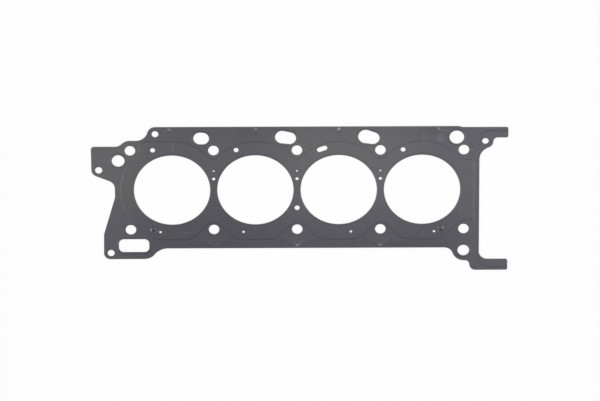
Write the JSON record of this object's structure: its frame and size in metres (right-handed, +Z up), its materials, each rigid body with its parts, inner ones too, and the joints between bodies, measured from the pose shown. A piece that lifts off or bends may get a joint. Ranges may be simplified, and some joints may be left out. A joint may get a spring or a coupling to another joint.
{
  "type": "cylinder head gasket",
  "caption": "Multi-layer steel gasket for one bank of a V engine: two beaded sheets over a flat spacer, riveted, with cylinder, bolt and passage holes.",
  "frame": {"origin": "centre of the head bolt grid, in the plane that the lower sheet's raised lands rest on", "axes": "+X along the bank towards the timing cover end, +Y across it towards the side with the oval passages, +Z up out of the cylinder head face"},
  "size_m": [0.5399, 0.2051, 0.0014],
  "materials": {
    "coated_sheet": "satin",
    "spacer_sheet": "satin",
    "rivet": "satin"
  },
  "bodies": {
    "root": {"upper_bead_layer": "coated_sheet", "centre_spacer": "spacer_sheet", "lower_bead_layer": "coated_sheet", "upper_edge_rivet_1": "rivet", "upper_edge_rivet_2": "rivet", "upper_edge_rivet_3": "rivet", "upper_edge_rivet_4": "rivet", "lower_edge_rivet_1": "rivet", "lower_edge_rivet_2": "rivet", "lower_edge_rivet_3": "rivet", "inner_rivet_1": "rivet", "inner_rivet_2": "rivet", "end_rivet_1": "rivet", "end_rivet_2": "rivet", "end_rivet_3": "rivet"}
  },
  "joints": []
}
